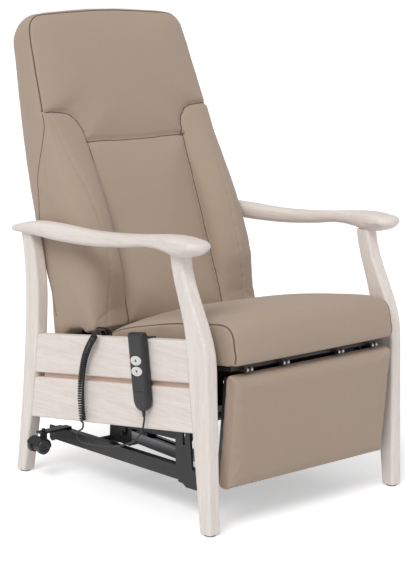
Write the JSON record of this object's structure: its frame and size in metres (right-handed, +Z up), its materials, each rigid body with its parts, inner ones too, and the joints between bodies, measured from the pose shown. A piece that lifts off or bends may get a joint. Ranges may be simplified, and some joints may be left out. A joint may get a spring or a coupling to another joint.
{
  "type": "patient recliner chair",
  "caption": "Wooden-armed patient recliner with padded back, wings, leg rest on one electric drive, wired handset and a castor chassis let down from below.",
  "frame": {"origin": "centre of the footprint on the floor, under the middle of the whole chair", "axes": "+Z up, +Y towards the back of the chair, +X to the sitter's left"},
  "size_m": [0.6944, 0.8622, 1.1597],
  "materials": {
    "wood": "limewashed beech, satin",
    "plywood": "raw plywood",
    "upholstery": "fine woven taupe",
    "black_steel": "satin black",
    "zinc_steel": "zinc plated",
    "drive_alloy": "satin anodised",
    "black_plastic": "matt black",
    "handset_grey": "fine matt grey",
    "button_white": "soft gloss",
    "circuit_board": "green board",
    "cord_grey": "semi matt",
    "wheel_grey": "grey nylon",
    "glide_plastic": "dark brown"
  },
  "bodies": {
    "frame": {"front_leg_right": "wood", "front_leg_left": "wood", "rear_leg_right": "wood", "rear_leg_left": "wood", "armrest_right": "wood", "armrest_left": "wood", "upper_rail_right": "wood", "upper_rail_left": "wood", "lower_rail_right": "wood", "lower_rail_left": "wood", "rear_crossrail": "wood", "leg_glides": "glide_plastic", "frame_bolts": "zinc_steel", "mechanism_side_right": "black_steel", "mechanism_side_left": "black_steel", "mechanism_tubes": "black_steel", "pivot_bolts": "zinc_steel", "seat_board": "plywood", "seat_cushion": "upholstery", "legrest_brackets": "black_steel", "drive_rail": "drive_alloy", "drive_spindle": "zinc_steel", "gear_housing": "black_plastic", "drive_motor": "black_plastic", "drive_hangers": "black_steel", "control_box": "black_plastic", "cord_gland": "black_plastic", "handset_front": "handset_grey", "handset_back": "handset_grey", "handset_board": "circuit_board", "handset_hook": "black_plastic", "cord_relief": "handset_grey", "cord_curl": "cord_grey", "cord_lead": "cord_grey", "cord_tail": "cord_grey"},
    "back": {"back_board": "plywood", "back_panel": "upholstery", "head_cushion": "upholstery", "lumbar_cushion": "upholstery", "bolster_right": "upholstery", "bolster_left": "upholstery", "back_hinge_plates": "black_steel", "back_lever": "black_steel"},
    "leg_rest": {"legrest_board": "plywood", "legrest_pad": "upholstery", "legrest_hinges": "black_steel"},
    "drive_bar": {"drive_bar": "black_steel"},
    "lift_upper": {"lift_arms_upper": "black_steel"},
    "lift_lower": {"lift_arms_lower": "black_steel"},
    "chassis": {"chassis_beams": "black_steel", "chassis_posts": "black_steel", "chassis_tubes": "black_steel"},
    "caster_right": {"caster_fork_right": "black_plastic"},
    "caster_left": {"caster_fork_left": "black_plastic"},
    "wheels_right": {"caster_wheels_right": "wheel_grey"},
    "wheels_left": {"caster_wheels_left": "wheel_grey"},
    "button_up": {"button_up": "button_white"},
    "button_down": {"button_down": "button_white"}
  },
  "joints": [
    {"name": "back_recline", "type": "hinge", "parent": "frame", "child": "back", "pos_m": [0, 0.14364, 0.37], "axis": [-1, 0, 0], "range_deg": [0, 35]},
    {"name": "legrest_lift", "type": "hinge", "parent": "frame", "child": "leg_rest", "pos_m": [0, -0.40836, 0.374], "axis": [-1, 0, 0], "range_deg": [0, 80]},
    {"name": "drive_slide", "type": "slide", "parent": "frame", "child": "drive_bar", "axis": [0, -0.9987, -0.0506], "range_m": [0, 0.11348]},
    {"name": "chassis_lower", "type": "hinge", "parent": "frame", "child": "lift_upper", "pos_m": [0, 0.12608, 0.2285], "axis": [1, 0, 0], "range_deg": [0, 10.6]},
    {"name": "lower_arm_swing", "type": "hinge", "parent": "frame", "child": "lift_lower", "pos_m": [0, 0.12608, 0.1885], "axis": [1, 0, 0], "range_deg": [0, 10.7]},
    {"name": "chassis_level", "type": "hinge", "parent": "lift_upper", "child": "chassis", "pos_m": [0, -0.23436, 0.262], "axis": [1, 0, 0], "range_deg": [-10.7, 0]},
    {"name": "caster_swivel_right", "type": "hinge", "parent": "chassis", "child": "caster_right", "pos_m": [-0.31, 0.23364, 0.11], "axis": [0, 0, 1], "continuous": true},
    {"name": "wheel_spin_right", "type": "hinge", "parent": "caster_right", "child": "wheels_right", "pos_m": [-0.325, 0.23364, 0.087], "axis": [0, 1, 0], "continuous": true},
    {"name": "caster_swivel_left", "type": "hinge", "parent": "chassis", "child": "caster_left", "pos_m": [0.31, 0.23364, 0.11], "axis": [0, 0, 1], "continuous": true},
    {"name": "wheel_spin_left", "type": "hinge", "parent": "caster_left", "child": "wheels_left", "pos_m": [0.325, 0.23364, 0.087], "axis": [0, 1, 0], "continuous": true},
    {"name": "button_up_press", "type": "slide", "parent": "frame", "child": "button_up", "axis": [1, 0, 0], "range_m": [0, 0.0015], "stiffness_N_per_m": 600, "springref_m": -0.001},
    {"name": "button_down_press", "type": "slide", "parent": "frame", "child": "button_down", "axis": [1, 0, 0], "range_m": [0, 0.0015], "stiffness_N_per_m": 600, "springref_m": -0.001}
  ],
  "couplings": [
    {"joint": "legrest_lift", "follows": "back_recline", "ratio": 2.2857},
    {"joint": "drive_slide", "follows": "back_recline", "m_per_rad": 0.18543},
    {"joint": "lower_arm_swing", "follows": "chassis_lower", "ratio": 1},
    {"joint": "chassis_level", "follows": "chassis_lower", "ratio": -1}
  ]
}
